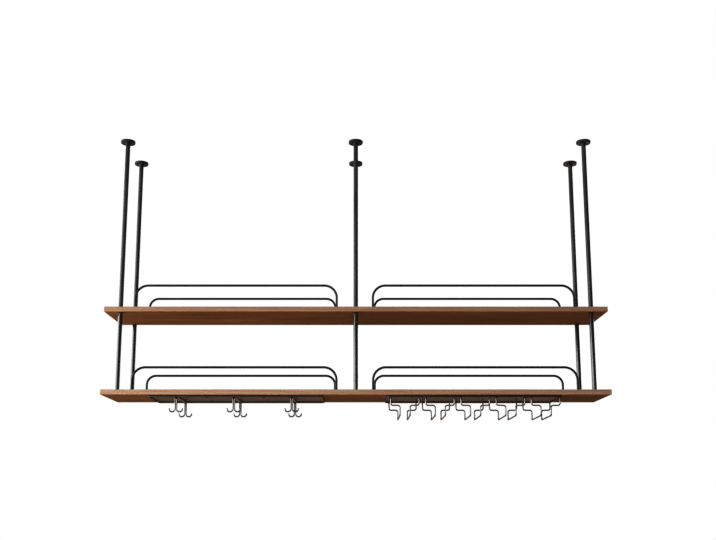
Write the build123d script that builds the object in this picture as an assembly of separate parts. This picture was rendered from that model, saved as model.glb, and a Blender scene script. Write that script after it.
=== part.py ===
from build123d import *
import math
import os

# Sizes are in millimetres. The ceiling is the plane z = 0, the front faces -Y and +X is to the right.

# Boards
board_length = 1800.0
board_depth = 250.0
board_thickness = 18.0
board_edge_chamfer = 1.2
upper_board_drop = 630.0
tier_clearance = 280.0

# Hanging rods, a round tube with a tapped slug welded in at each end
rod_diameter = 16.0
rod_bore = 13.0
rod_slug_length = 24.0
rod_edge_chamfer = 0.6
rod_end_inset = 56.0
rod_side_inset = 17.5

# Threads are plain cylinders with a small clearance all round
stud_diameter = 8.0
stud_engagement = 15.0
stud_end_chamfer = 0.8
thread_clearance = 0.1
board_hole_clearance = 0.3

# Ceiling flanges
flange_diameter = 52.0
flange_thickness = 8.0
flange_rim_chamfer = 1.0
flange_hole_diameter = 4.5
flange_hole_circle = 36.0
flange_hole_count = 4
flange_sink_diameter = 8.5
boss_diameter = 20.0
boss_height = 3.0
boss_edge_chamfer = 0.8
boss_tap_depth = 9.0
boss_engagement = 8.0

# Countersunk bolts under the lower board
bolt_head_diameter = 17.0
bolt_socket_width = 5.0
bolt_socket_depth = 3.0

# How far the rails and the pans stand off the rods' middle
fittings_shift = -3.5

# Guard rails, bent from round bar
rail_diameter = 8.0
rail_height = 85.0
rail_side_inset = 17.5
front_rail_bend_radius = 45.0
front_rail_end_gap = 55.0
front_rail_centre_gap = 65.0
rear_rail_bend_radius = 34.0
rear_rail_end_gap = 59.0
rear_rail_centre_gap = 75.0

# Countersunk screws that hold the guard rails from below
rail_screw_diameter = 4.0
rail_screw_head_diameter = 8.0
rail_screw_grip = 12.0
rail_screw_socket_width = 2.5
rail_screw_socket_depth = 1.2
rail_tap_spare = 2.0

# Sheet-metal pans that carry the two racks under the lower board
pan_length = 620.0
pan_depth = 200.0
pan_sheet = 1.5
pan_lip = 6.0
pan_corner_round = 8.0
pan_bend_round = 2.0
pan_offset = 423.5

# Wood screws that hold the two pans
wood_screw_diameter = 4.0
wood_screw_length = 14.0
wood_screw_point = 3.0
wood_screw_head_diameter = 8.4
wood_screw_head_height = 2.4
wood_screw_head_chamfer = 1.0
wood_screw_socket_width = 2.5
wood_screw_socket_depth = 1.2
wood_screw_side_inset = 40.0
pilot_spare_depth = 1.0

# Mug hooks, in units of two wires side by side, each wire with a hook at both ends
hook_wire_diameter = 5.0
hook_wire_gap = 0.2
hook_tip_chamfer = 1.0
hook_unit_count = 3
hook_unit_pitch = 205.0
hook_group_shift = 5.0
hook_stem_inset = 8.0
hook_drop = 58.5
hook_bend_radius = 10.5
hook_shoulder_radius = 8.0
hook_tip_rise = 2.0

# Stemware channels, each of two mirrored bent wires, with widths between wire centres
glass_wire_diameter = 5.0
glass_wire_bend_radius = 8.0
channel_count = 5
channel_pitch = 125.0
channel_group_shift = 4.5
channel_foot_width = 101.0
channel_stem_width = 36.0
channel_end_inset = 15.0
channel_step_drop = 32.5
channel_rail_drop = 68.5

# Places that follow from the sizes above
upper_board_top = -upper_board_drop
upper_board_under = upper_board_top - board_thickness
lower_board_top = upper_board_under - tier_clearance
lower_board_under = lower_board_top - board_thickness
pan_under = lower_board_under - pan_sheet
boss_under = -flange_thickness - boss_height
rod_x = board_length / 2 - rod_end_inset
rod_y = board_depth / 2 - rod_side_inset
rail_y = board_depth / 2 - rail_side_inset
mug_pan_x = fittings_shift - pan_offset
glass_pan_x = fittings_shift + pan_offset
hook_group_x = mug_pan_x - hook_group_shift
channel_group_x = glass_pan_x + channel_group_shift
tap_diameter = stud_diameter + 2 * thread_clearance
rod_hole_diameter = stud_diameter + 2 * board_hole_clearance
rows = {"front": -1, "rear": 1}
columns = {"left": -1, "centre": 0, "right": 1}
bays = {"left": -1, "right": 1}
rail_gaps = {
    "front": (front_rail_centre_gap, front_rail_end_gap),
    "rear": (rear_rail_centre_gap, rear_rail_end_gap),
}
rail_bend_radii = {"front": front_rail_bend_radius, "rear": rear_rail_bend_radius}


def turned(profile):
    """A turned piece, from its closed half profile of radius and height pairs."""
    outline = Polyline(*[(radius, 0, height) for radius, height in profile], close=True)
    return revolve(make_face(outline), Axis.Z)


def upright(diameter, bottom, top):
    """A plain upright cylinder between two heights."""
    return Pos(0, 0, (bottom + top) / 2) * Cylinder(diameter / 2, top - bottom)


def hex_socket(width, depth, mouth):
    """The space of a hexagonal socket that opens downward at a height."""
    outline = RegularPolygon(width / 2, 6, major_radius=False)
    return Pos(0, 0, mouth) * extrude(outline, depth)


def spaced(count, pitch):
    """The offsets of evenly pitched copies about their middle."""
    return [(index - (count - 1) / 2) * pitch for index in range(count)]


def copies(piece, places):
    """Separate copies of one upright piece at places on the plan."""
    return [Pos(x, y, 0) * piece for x, y in places]


def bent_path(corners, radii):
    """Straight runs through the corners, with a tangent bend of its own radius at each inner corner."""
    points = [Vector(*corner) for corner in corners]
    edges = []
    start = points[0]
    for before, corner, after, radius in zip(points, points[1:], points[2:], radii):
        arriving = (corner - before).normalized()
        leaving = (after - corner).normalized()
        setback = radius * math.tan(math.radians(arriving.get_angle(leaving)) / 2)
        bend_start = corner - arriving * setback
        bend_end = corner + leaving * setback
        if (bend_start - start).length > 1e-6:
            edges.append(Edge.make_line(start, bend_start))
        edges.append(Edge.make_tangent_arc(bend_start, arriving, bend_end))
        start = bend_end
    edges.append(Edge.make_line(start, points[-1]))
    return Wire(edges)


def bent_wire(corners, radii, diameter):
    """A round wire swept along a bent path."""
    path = bent_path(corners, radii)
    section = Plane(origin=path @ 0, z_dir=path % 0) * Circle(diameter / 2)
    return sweep(section, path)


def rod_places():
    """The place on the plan of every hanging rod, by its name."""
    return {
        f"{row}_{column}": (step * rod_x, side * rod_y)
        for row, side in rows.items()
        for column, step in columns.items()
    }


def rail_ends(row, bay):
    """Where the inner and outer legs of one guard rail stand along the board."""
    centre_gap, end_gap = rail_gaps[row]
    return fittings_shift + bays[bay] * centre_gap, fittings_shift + bays[bay] * (rod_x - end_gap)


def rail_leg_places():
    """The place on the plan of every guard rail leg of one board."""
    return [(x, side * rail_y) for row, side in rows.items() for bay in bays for x in rail_ends(row, bay)]


def pan_screw_places(group_x, count, pitch):
    """The four screws of one pan, midway between its first two and its last two units."""
    reach = (count - 2) / 2 * pitch
    side = pan_depth / 2 - wood_screw_side_inset
    return [(group_x + end * reach, row * side) for end in (-1, 1) for row in (-1, 1)]


def mug_pan_screw_places():
    """The screws of the mug pan."""
    return pan_screw_places(hook_group_x, hook_unit_count, hook_unit_pitch)


def glass_pan_screw_places():
    """The screws of the stemware pan."""
    return pan_screw_places(channel_group_x, channel_count, channel_pitch)


def countersunk(under, tip, shank_diameter, head_diameter):
    """A countersunk shape with a flush head that faces down, either a screw or its hole."""
    shank = shank_diameter / 2
    head = head_diameter / 2
    return turned([(0, under), (head, under), (shank, under + head - shank), (shank, tip), (0, tip)])


def board(top, rod_hole):
    """A board with chamfered edges, its rod holes and the countersunk holes of its guard rails."""
    under = top - board_thickness
    blank = Pos(0, 0, (top + under) / 2) * Box(board_length, board_depth, board_thickness)
    blank = chamfer(blank.edges(), board_edge_chamfer)
    hole_diameter = rail_screw_diameter + 2 * board_hole_clearance
    screw_hole = countersunk(under, top, hole_diameter, rail_screw_head_diameter)
    return blank - copies(rod_hole, rod_places().values()) - copies(screw_hole, rail_leg_places())


def upper_board():
    """The upper board, with plain holes for the studs that join the rods through it."""
    return board(upper_board_top, upright(rod_hole_diameter, upper_board_under, upper_board_top))


def lower_board():
    """The lower board, countersunk for its bolts, with blind pilot holes for the screws of the pans."""
    bolt_hole = countersunk(lower_board_under, lower_board_top, rod_hole_diameter, bolt_head_diameter)
    pilot_top = pan_under + wood_screw_length + pilot_spare_depth
    pilot = upright(wood_screw_diameter + 2 * thread_clearance, lower_board_under, pilot_top)
    pilots = copies(pilot, mug_pan_screw_places() + glass_pan_screw_places())
    return board(lower_board_top, bolt_hole) - pilots


def rod(bottom, top):
    """A tube with a tapped slug closing each end."""
    tap = tap_diameter / 2
    bore = rod_bore / 2
    outer = rod_diameter / 2
    edge = rod_edge_chamfer
    slug = rod_slug_length
    inside = [(tap, top), (tap, top - slug), (bore, top - slug), (bore, bottom + slug), (tap, bottom + slug)]
    outside = [(outer - edge, bottom), (outer, bottom + edge), (outer, top - edge), (outer - edge, top)]
    return turned([(tap, bottom)] + outside + inside)


def flange_screw_hole():
    """A screw hole of a flange, countersunk from below."""
    sink = flange_sink_diameter / 2
    hole = flange_hole_diameter / 2
    under = -flange_thickness
    return turned([(0, under), (sink, under), (hole, under + sink - hole), (hole, 0), (0, 0)])


def ceiling_flange():
    """A disc that lies on the ceiling, with screw holes round a boss that is tapped from below."""
    rim = flange_diameter / 2
    boss = boss_diameter / 2
    body = turned([
        (0, 0),
        (rim, 0),
        (rim, flange_rim_chamfer - flange_thickness),
        (rim - flange_rim_chamfer, -flange_thickness),
        (boss, -flange_thickness),
        (boss, boss_under + boss_edge_chamfer),
        (boss - boss_edge_chamfer, boss_under),
        (0, boss_under),
    ])
    tap = upright(tap_diameter, boss_under, boss_under + boss_tap_depth)
    return body - tap - PolarLocations(flange_hole_circle / 2, flange_hole_count) * flange_screw_hole()


def stud(bottom, top):
    """A threaded stud with chamfered ends."""
    thread = upright(stud_diameter, bottom, top)
    return chamfer(thread.edges().filter_by(GeomType.CIRCLE), stud_end_chamfer)


def shelf_bolt():
    """A countersunk bolt that goes up through the lower board into a lower rod."""
    tip = lower_board_top + stud_engagement
    bolt = countersunk(lower_board_under, tip, stud_diameter, bolt_head_diameter)
    bolt = chamfer(bolt.edges().group_by(Axis.Z)[-1], stud_end_chamfer)
    return bolt - hex_socket(bolt_socket_width, bolt_socket_depth, lower_board_under)


def rail_screw(top):
    """A countersunk screw from the underside of a board into the foot of a guard rail."""
    under = top - board_thickness
    screw = countersunk(under, top + rail_screw_grip, rail_screw_diameter, rail_screw_head_diameter)
    return screw - hex_socket(rail_screw_socket_width, rail_screw_socket_depth, under)


def wood_screw():
    """A wood screw with its head under a pan and its point up in the lower board."""
    shank = wood_screw_diameter / 2
    head = wood_screw_head_diameter / 2
    head_under = pan_under - wood_screw_head_height
    tip = pan_under + wood_screw_length
    screw = turned([
        (0, head_under),
        (head - wood_screw_head_chamfer, head_under),
        (head, head_under + wood_screw_head_chamfer),
        (head, pan_under),
        (shank, pan_under),
        (shank, tip - wood_screw_point),
        (0, tip),
    ])
    return screw - hex_socket(wood_screw_socket_width, wood_screw_socket_depth, head_under)


def guard_rail(top, row, bay):
    """An upside-down U of round bar that stands on a board, tapped in both feet."""
    y = rows[row] * rail_y
    inner, outer = rail_ends(row, bay)
    bar = top + rail_height - rail_diameter / 2
    corners = [(inner, y, top), (inner, y, bar), (outer, y, bar), (outer, y, top)]
    rail = bent_wire(corners, [rail_bend_radii[row]] * 2, rail_diameter)
    tap = upright(rail_screw_diameter + 2 * thread_clearance, top, top + rail_screw_grip + rail_tap_spare)
    return rail - copies(tap, [(inner, y), (outer, y)])


def pan(centre_x, screw_places):
    """A shallow sheet-metal pan, open below, with a lip all round."""
    inner_length = pan_length - 2 * pan_sheet
    inner_depth = pan_depth - 2 * pan_sheet
    outer = extrude(RectangleRounded(pan_length, pan_depth, pan_corner_round), -pan_lip)
    outer = fillet(outer.edges().group_by(Axis.Z)[-1], pan_bend_round)
    hollow = extrude(RectangleRounded(inner_length, inner_depth, pan_corner_round - pan_sheet), -pan_lip)
    hollow = fillet(hollow.edges().group_by(Axis.Z)[-1], pan_bend_round - pan_sheet)
    tray = Pos(centre_x, 0, lower_board_under) * (outer - Pos(0, 0, -pan_sheet) * hollow)
    hole = upright(wood_screw_diameter + 2 * board_hole_clearance, pan_under, lower_board_under)
    return tray - copies(hole, screw_places)


def hook_wire(unit_x, side):
    """One wire of a mug hook unit: a hook in front, a run under the pan and a hook behind."""
    stem = unit_x + side * (hook_wire_diameter + hook_wire_gap) / 2
    tip = stem + side * 2 * hook_bend_radius
    y = pan_depth / 2 - hook_stem_inset
    run = pan_under - hook_wire_diameter / 2
    base = pan_under - hook_drop + hook_wire_diameter / 2
    tip_top = base + hook_bend_radius + hook_tip_rise
    front = [(tip, -y, tip_top), (tip, -y, base), (stem, -y, base), (stem, -y, run)]
    rear = [(x, -depth, z) for x, depth, z in reversed(front)]
    hook = [hook_bend_radius] * 2
    shoulders = [hook_shoulder_radius] * 2
    wire = bent_wire(front + rear, hook + shoulders + hook, hook_wire_diameter)
    tips = wire.edges().filter_by_position(Axis.Z, tip_top, tip_top)
    return chamfer(tips, hook_tip_chamfer)


def glass_wire(channel_x, side):
    """One wire of a stemware channel: down, in, down, back along the rail, then the same way up."""
    foot = channel_x + side * channel_foot_width / 2
    stem = channel_x + side * channel_stem_width / 2
    y = pan_depth / 2 - channel_end_inset
    step = pan_under - channel_step_drop
    rail = pan_under - channel_rail_drop
    front = [(foot, -y, pan_under), (foot, -y, step), (stem, -y, step), (stem, -y, rail)]
    rear = [(x, -depth, z) for x, depth, z in reversed(front)]
    return bent_wire(front + rear, [glass_wire_bend_radius] * 6, glass_wire_diameter)


def rods_and_flanges():
    """Every rod and flange as a node of its own."""
    flange = ceiling_flange()
    upper = rod(upper_board_top, boss_under)
    lower = rod(lower_board_top, upper_board_under)
    nodes = {}
    for name, (x, y) in rod_places().items():
        nodes[f"ceiling_flange_{name}"] = Pos(x, y, 0) * flange
        nodes[f"upper_rod_{name}"] = Pos(x, y, 0) * upper
        nodes[f"lower_rod_{name}"] = Pos(x, y, 0) * lower
    return nodes


def guard_rails():
    """The eight guard rails, two in front and two behind on each board."""
    return {
        f"{tier}_rail_{row}_{bay}": guard_rail(top, row, bay)
        for tier, top in (("upper", upper_board_top), ("lower", lower_board_top))
        for row in rows
        for bay in bays
    }


def mug_rack():
    """The mug pan and its hook wires."""
    nodes = {"mug_rack_pan": pan(mug_pan_x, mug_pan_screw_places())}
    for number, offset in enumerate(spaced(hook_unit_count, hook_unit_pitch), start=1):
        for bay, side in bays.items():
            nodes[f"mug_hook_wire_{number}_{bay}"] = hook_wire(hook_group_x + offset, side)
    return nodes


def glass_rack():
    """The stemware pan and its channel wires."""
    nodes = {"glass_rack_pan": pan(glass_pan_x, glass_pan_screw_places())}
    for number, offset in enumerate(spaced(channel_count, channel_pitch), start=1):
        for bay, side in bays.items():
            nodes[f"glass_wire_{number}_{bay}"] = glass_wire(channel_group_x + offset, side)
    return nodes


def fasteners():
    """Every fastener, with identical ones grouped as separate solids."""
    rods = list(rod_places().values())
    flange_stud = stud(boss_under - stud_engagement, boss_under + boss_engagement)
    shelf_stud = stud(upper_board_under - stud_engagement, upper_board_top + stud_engagement)
    groups = {
        "flange_studs": copies(flange_stud, rods),
        "upper_board_studs": copies(shelf_stud, rods),
        "lower_board_bolts": copies(shelf_bolt(), rods),
        "upper_rail_screws": copies(rail_screw(upper_board_top), rail_leg_places()),
        "lower_rail_screws": copies(rail_screw(lower_board_top), rail_leg_places()),
        "mug_rack_screws": copies(wood_screw(), mug_pan_screw_places()),
        "glass_rack_screws": copies(wood_screw(), glass_pan_screw_places()),
    }
    return {name: Compound(children=solids) for name, solids in groups.items()}


def main():
    """Build every node and write it to its own file."""
    nodes = {"upper_board": upper_board(), "lower_board": lower_board()}
    for group in (rods_and_flanges(), guard_rails(), mug_rack(), glass_rack(), fasteners()):
        nodes.update(group)
    os.makedirs("parts", exist_ok=True)
    for name, shape in nodes.items():
        export_step(shape, f"parts/{name}.step")


main()
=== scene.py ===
"""The visual model of a hanging wine glass rack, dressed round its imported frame.

Lengths are in metres in the frame's own axes: the ceiling is z = 0, the front faces -Y and +X is to the
right. Each class stands for one sub-assembly. It takes its place from the boxes of the nodes that it stands
for, keeps its own sizes as fields, and has the methods that make its meshes.
"""

import logging
import math
from abc import ABC, abstractmethod
from dataclasses import dataclass, replace
from enum import Enum
from functools import cached_property
from typing import Callable, Mapping, NamedTuple, Sequence

import bmesh
import bpy
import numpy as np
from mathutils import Matrix, Vector
from mathutils.geometry import tessellate_polygon


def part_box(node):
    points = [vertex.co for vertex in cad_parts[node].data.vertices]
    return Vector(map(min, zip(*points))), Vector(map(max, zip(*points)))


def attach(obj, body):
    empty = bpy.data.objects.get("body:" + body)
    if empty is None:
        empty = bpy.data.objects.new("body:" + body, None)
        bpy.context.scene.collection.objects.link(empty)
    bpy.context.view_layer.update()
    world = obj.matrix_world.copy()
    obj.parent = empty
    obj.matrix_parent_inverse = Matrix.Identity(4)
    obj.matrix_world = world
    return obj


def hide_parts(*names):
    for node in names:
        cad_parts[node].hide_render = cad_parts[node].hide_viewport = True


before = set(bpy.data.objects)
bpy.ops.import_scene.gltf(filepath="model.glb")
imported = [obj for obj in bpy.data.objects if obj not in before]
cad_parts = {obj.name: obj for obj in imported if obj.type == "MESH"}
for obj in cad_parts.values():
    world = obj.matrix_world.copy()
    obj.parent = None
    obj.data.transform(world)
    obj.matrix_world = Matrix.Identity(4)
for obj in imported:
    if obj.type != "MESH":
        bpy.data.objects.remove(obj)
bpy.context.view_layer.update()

LOG = logging.getLogger("glass_rack")
BODY = "root"
# Name of the mesh attribute for rubbing through the coat, which also carries painted sheen on the boards'
# edge bands and painted highlight on the channel wires' front legs
WEAR_AND_SHEEN = "wear"
MM = 0.001
TURN = 2 * math.pi
QUARTER_TURN = math.pi / 2
CREASE_DEG = 40.0  # Edges that turn by more than this stay sharp
SAME_POINT = 1e-7  # Points nearer than this become one
NO_AREA = 1e-8  # Edges shorter than this go
LEAN = (0.36, 0.48, 0.80)  # A direction that no bar or wire follows
FACETS = 64
RIM_STEPS = 4  # Facets of the round at the end of a bar
ROUND_STEPS = 5  # Facets of a round in a profile
WELD_SEED = 11
RAIL_BAR = 8.0 * MM
PAN_HEAD = 4.2 * MM  # Radius of the heads of the pans' screws
PHOTO_WIDTH = 716
SENSOR_WIDTH = 36.0
WHITE = (1.0, 1.0, 1.0)
BLACK = (0.0, 0.0, 0.0)

Array = np.ndarray
Amount = Array | float
Settings = Mapping[str, object]
Inputs = Mapping[int | str, object]
Colour = tuple[float, float, float]
Point = tuple[float, float, float]
Place = tuple[float, float]
Line = tuple[Array, Array]  # Points, and the direction at each


class Slot(Enum):
    """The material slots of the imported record."""

    BOARD = "walnut_board"
    TUBE = "black_tube"
    FLANGE = "black_flange"
    RAIL = "black_rail_bar"
    SHEET = "dark_sheet"
    WIRE = "black_wire"
    FASTENER = "steel_fastener"


class Side(Enum):
    """Which way a wire faces along the rack."""

    LEFT = -1
    RIGHT = 1


# Lines and outlines


def bent_line(corners: Sequence[Point], radii: Sequence[float], steps: int) -> Line:
    """Run straight from corner to corner, with a round bend at each inner one.

    A bend of radius r that turns by an angle a starts r * tan(a / 2) before its corner. Its points are the
    bend's centre plus r * (sin t * arriving - cos t * inward) for t from 0 to a. With no radius the corner
    stays sharp and is one point.

    Args:
        corners: The corners, with both ends.
        radii: The radius of each bend.
        steps: How many facets a bend has.

    Returns:
        The points along the line and the unit direction at each, as rows of three.
    """
    sharp = np.array(corners, float)
    runs = np.diff(sharp, axis=0)
    ways = runs / np.linalg.norm(runs, axis=1, keepdims=True)
    points, directions = [sharp[:1]], [ways[:1]]
    for corner, arriving, leaving, radius in zip(sharp[1:-1], ways, ways[1:], radii):
        if not radius:
            points.append(corner[None])
            directions.append(leaving[None])
            continue
        turn = math.acos(float(np.clip(arriving @ leaving, -1, 1)))
        inward = leaving - arriving * (arriving @ leaving)
        inward /= np.linalg.norm(inward)
        centre = corner - arriving * radius * math.tan(turn / 2) + inward * radius
        angle = np.linspace(0, turn, steps + 1)[:, None]
        points.append(centre + radius * (np.sin(angle) * arriving - np.cos(angle) * inward))
        directions.append(np.sin(angle) * inward + np.cos(angle) * arriving)
    return np.vstack([*points, sharp[-1:]]), np.vstack([*directions, ways[-1:]])


def softened(corners: Sequence[Place], radii: Sequence[float]) -> Array:
    """Round each inner corner of a profile of two numbers a row by its radius, where 0 keeps it sharp."""
    points, _ = bent_line([(r, 0.0, z) for r, z in corners], radii, ROUND_STEPS)
    return points[:, [0, 2]]


def circle(centre: Place, radius: float, segments: int) -> Array:
    """Rows of x and y round a circle, evenly spaced."""
    angle = np.arange(segments) * TURN / segments
    return np.column_stack([centre[0] + radius * np.cos(angle), centre[1] + radius * np.sin(angle)])


def at_heights(plans: Array, heights: Array) -> Array:
    """Give rows of outlines on the plan one height for each row, or one for each point."""
    return np.concatenate([plans, np.broadcast_to(heights, plans.shape[:2])[..., None]], axis=2)


@dataclass(frozen=True)
class Hole:
    """A round hole up into a plate, right through it unless it has a depth, which may widen at its mouth."""

    place: Place
    width: float
    mouth: float
    depth: float | None = None
    facets: int = 32

    def wall(self, low: float, high: float) -> Array:
        """Work out the hole's profile.

        Args:
            low: The height of its mouth.
            high: The height where it comes out, if it does.

        Returns:
            Rows of radius and height from the mouth up.
        """
        radius, mouth = self.width / 2, self.mouth / 2
        sunk = [(mouth, low)] if mouth > radius else []
        top = high if self.depth is None else low + self.depth
        end = [] if self.depth is None else [(0.0, top)]
        return np.array([*sunk, (radius, low + mouth - radius), (radius, top), *end])


# Meshes


class Shell:
    """A mesh in the making, of grids and plates that meet edge to edge and are merged at the end."""

    def __init__(self) -> None:
        """Start with nothing."""
        self._points: list[Array] = []
        self._wear_and_sheen: list[Array] = []
        self._faces: list[tuple[int, ...]] = []
        self._count = 0

    def add(self, points: Array, faces: Array, wear: Amount = 0.0) -> None:
        """Add vertices and the faces between them.

        Args:
            points: Rows of x, y and z.
            faces: Rows of vertex numbers, counted within these points.
            wear: How much rubbing and painted sheen each vertex has, from 0 to 1.
        """
        self._points.append(points)
        self._wear_and_sheen.append(np.broadcast_to(np.asarray(wear, float), len(points)))
        self._faces.extend(map(tuple, (faces + self._count).tolist()))
        self._count += len(points)

    def grid(self, points: Array, wear: Amount = 0.0, loop_rows: bool = False) -> None:
        """Add a surface on a grid of rows that each run once round.

        Args:
            points: Rows by columns by x, y and z. The last column joins the first.
            wear: How much rubbing and painted sheen each row has, or one value for all of it.
            loop_rows: Whether the last row also joins the first.
        """
        rows, columns = points.shape[:2]
        number = np.arange(rows * columns).reshape(rows, columns)
        below, beside = np.roll(number, -1, axis=0), np.roll(number, -1, axis=1)
        faces = np.stack([number, beside, np.roll(beside, -1, axis=0), below], axis=-1)
        kept = faces if loop_rows else faces[:-1]
        rubbed_and_sheened = np.broadcast_to(np.asarray(wear, float).reshape(-1, 1), (rows, columns)).ravel()
        self.add(points.reshape(-1, 3), kept.reshape(-1, 4), rubbed_and_sheened)

    def plate(self, loops: Sequence[Array], height: float) -> None:
        """Add a flat face.

        Args:
            loops: Rows of x and y round its edge, then round each hole.
            height: Its z.
        """
        raised = [[Vector((x, y, 0.0)) for x, y in loop.tolist()] for loop in loops]
        flat = np.vstack(loops)
        points = np.column_stack([flat, np.full(len(flat), height)])
        self.add(points, np.array(tessellate_polygon(raised)))

    def turned(self, centre: Place, profile: Array, segments: int = FACETS, closed: bool = False) -> None:
        """Add a turned surface: each row of radius and height carried round an upright axis."""
        plans = np.array(centre) + profile[:, None, :1] * circle((0.0, 0.0), 1.0, segments)
        self.grid(at_heights(plans, profile[:, 1:]), loop_rows=closed)

    def drilled(
        self, above: Sequence[Array], below: Sequence[Array], heights: Sequence[float], holes: list[Hole]
    ) -> None:
        """Add the two flat faces of a plate, with round holes between them.

        Args:
            above: The outline of the face above, then any opening in it.
            below: The same for the face below.
            heights: The heights of the face above and of the face below.
            holes: The holes.
        """
        high, low = heights
        through = [circle(hole.place, hole.width / 2, hole.facets) for hole in holes if hole.depth is None]
        mouths = [circle(hole.place, hole.mouth / 2, hole.facets) for hole in holes]
        self.plate([*above, *through], high)
        self.plate([*below, *mouths], low)
        for hole in holes:
            self.turned(hole.place, hole.wall(low, high), hole.facets)

    def slab(
        self, node: str, radius: float, profile: Array, holes: list[Hole], wear: Amount = 0.0, steps: int = 8
    ) -> None:
        """Add a drilled plate with rounded corners, as large on the plan as a node's box.

        Each corner is an arc about a fixed centre, and its radius is the corner round less the profile's
        inset, so the outlines stay parallel.

        Args:
            node: The node.
            radius: The round of the corners.
            profile: Rows of inset and height, from the face above to the face below.
            holes: The holes.
            wear: How much rubbing and painted sheen each row has, or one value for all.
            steps: How many facets a corner has.
        """
        low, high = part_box(node)
        quarter = np.linspace(0, QUARTER_TURN, steps + 1)
        angle = (quarter + np.arange(4)[:, None] * QUARTER_TURN).ravel()
        signs = np.repeat(np.array([[1, 1], [-1, 1], [-1, -1], [1, -1]]), len(quarter), axis=0)
        middles = middle_of(node) + signs * (np.array([high.x - low.x, high.y - low.y]) / 2 - radius)
        spokes = np.column_stack([np.cos(angle), np.sin(angle)])
        plans = middles + (radius - profile[:, :1, None]) * spokes
        self.grid(at_heights(plans, profile[:, 1:]), wear)
        self.drilled(plans[:1], plans[-1:], profile[[0, -1], 1], holes)

    def tube(
        self, stations: Line, radius: Amount, end_round: float, wear: Amount = 0.0, segments: int = 32
    ) -> None:
        """Add a round bar along a line, closed at both ends.

        A ring at each station is radius * (cos t * side + sin t * up), where side and up are square to the
        line. They come from one leaning vector that the line never follows. Each end is a flat disc with a
        rounded rim.

        Args:
            stations: The line's points and directions.
            radius: The bar's radius, or one for each station.
            end_round: The round at the rim of both ends.
            wear: How much rubbing and painted sheen the bar has at each station, or one value.
            segments: How many facets it has round it.
        """
        points, directions = stations
        angle = np.linspace(0, QUARTER_TURN, RIM_STEPS + 1)
        setback = np.append(0.0, end_round * (1 - np.cos(angle)))[:, None]
        inset = end_round * (1 - np.sin(angle))
        rows = len(setback)
        copies = np.ones(len(points), int)
        copies[[0, -1]] = rows
        centres, ways = np.repeat(points, copies, axis=0), np.repeat(directions, copies, axis=0)
        centres[:rows] += directions[0] * setback
        centres[-rows:] -= directions[-1] * setback[::-1]
        sizes, rubbed_and_sheened = (np.repeat(np.broadcast_to(value, len(points)), copies) for value in (radius, wear))
        sizes[1:rows] -= inset
        sizes[-rows:-1] -= inset[::-1]
        sizes[[0, -1]] = 0.0
        side = np.cross(ways, LEAN)
        side /= np.linalg.norm(side, axis=1, keepdims=True)
        up = np.cross(side, ways)
        ring = circle((0.0, 0.0), 1.0, segments)
        spokes = ring[:, :1] * side[:, None] + ring[:, 1:] * up[:, None]
        self.grid(centres[:, None] + sizes[:, None, None] * spokes, rubbed_and_sheened)

    def made(self, name: str) -> bpy.types.Mesh:
        """Turn what was added into one mesh with its faces outwards.

        Args:
            name: The mesh's name.

        Returns:
            The mesh.
        """
        mesh = bpy.data.meshes.new(name)
        mesh.from_pydata(np.vstack(self._points).tolist(), [], self._faces)
        rubbed_and_sheened = mesh.attributes.new(WEAR_AND_SHEEN, "FLOAT", "POINT")
        rubbed_and_sheened.data.foreach_set("value", np.concatenate(self._wear_and_sheen).astype(np.float32))
        work = bmesh.new()
        work.from_mesh(mesh)
        bmesh.ops.remove_doubles(work, verts=work.verts, dist=SAME_POINT)
        bmesh.ops.dissolve_degenerate(work, edges=work.edges, dist=NO_AREA)
        bmesh.ops.recalc_face_normals(work, faces=work.faces)
        work.to_mesh(mesh)
        work.free()
        mesh.shade_smooth()
        mesh.set_sharp_from_angle(angle=math.radians(CREASE_DEG))
        return mesh


# Shader maths


def operator(operation: str, own: int = 0) -> Callable[["Value", "Value | float"], "Value"]:
    """Make the method of an operator, which adds a Math node and puts the value into its own socket of it."""
    settings = {"operation": operation}
    return lambda value, other=0.0: value.bench.node("ShaderNodeMath", settings, {own: value, 1 - own: other})


class Value:
    """One output of a node tree. Arithmetic on it adds Math nodes."""

    def __init__(self, bench: "Bench", socket: bpy.types.NodeSocket) -> None:
        """Wrap a socket of a bench's tree."""
        self.bench = bench
        self.socket = socket

    __add__, __radd__ = operator("ADD"), operator("ADD", own=1)
    __sub__, __rsub__ = operator("SUBTRACT"), operator("SUBTRACT", own=1)
    __mul__, __rmul__ = operator("MULTIPLY"), operator("MULTIPLY", own=1)
    __truediv__, __rtruediv__ = operator("DIVIDE"), operator("DIVIDE", own=1)
    __pow__, __rpow__ = operator("POWER"), operator("POWER", own=1)
    fraction = operator("FRACT")

    def distance(self, across: "Value") -> "Value":
        """How far off a place is, from this and the number at right angles to it."""
        return (self * self + across * across) ** 0.5

    def between(self, low: float, high: float) -> "Value":
        """Rise smoothly from 0 at low to 1 at high, or fall where low is the higher."""
        inputs = {"Value": self, "From Min": low, "From Max": high}
        return self.bench.node("ShaderNodeMapRange", {"interpolation_type": "SMOOTHSTEP"}, inputs)


@dataclass(frozen=True)
class Layer:
    """One layer of soft noise: its cells in a metre along each axis, where it starts, and how rough it is."""

    cells: Point
    offset: Point = (0.0, 0.0, 0.0)
    detail: float = 3.0
    roughness: float = 0.55


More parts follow.
